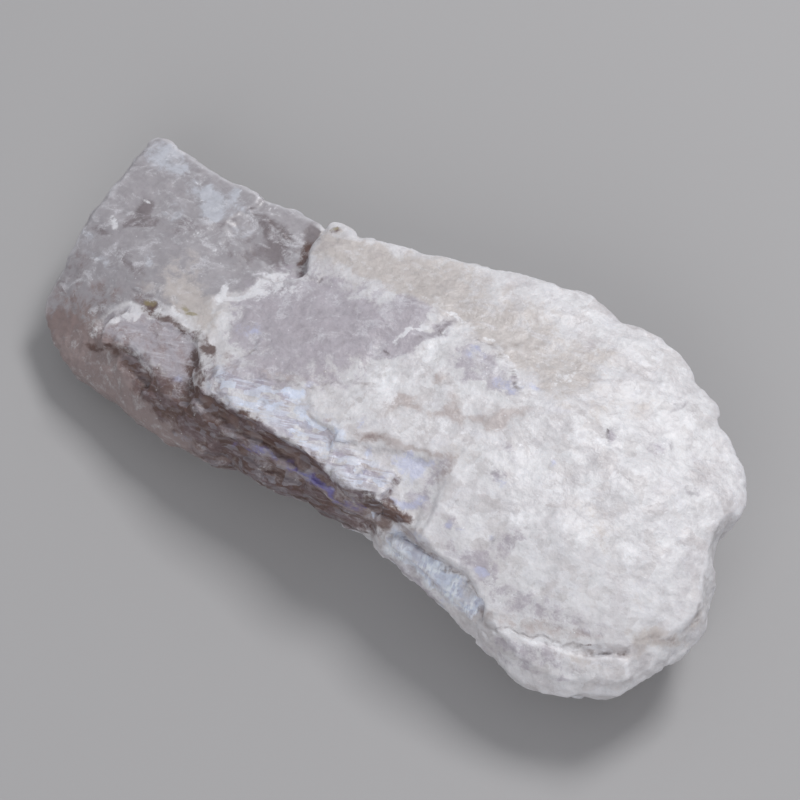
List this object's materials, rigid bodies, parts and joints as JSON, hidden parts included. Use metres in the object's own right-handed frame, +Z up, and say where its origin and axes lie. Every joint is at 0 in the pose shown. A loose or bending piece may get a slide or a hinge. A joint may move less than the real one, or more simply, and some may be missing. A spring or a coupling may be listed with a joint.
{
  "type": "rough moonstone",
  "caption": "Rough moonstone: a long slab of milky feldspar with a broad top, stepped cleavage ledges on one flank and a flat underside to rest on.",
  "frame": {"origin": "under the middle of the stone's box, on the flat face it rests on", "axes": "+X along the stone towards its wide end, +Z up out of its broad top, +Y away from the flank with the ledges"},
  "size_m": [0.0708, 0.033, 0.0159],
  "materials": {
    "milky_feldspar": "pearly broken cleavage faces, satin with small glints"
  },
  "bodies": {
    "root": {"moonstone": "milky_feldspar"}
  },
  "joints": []
}
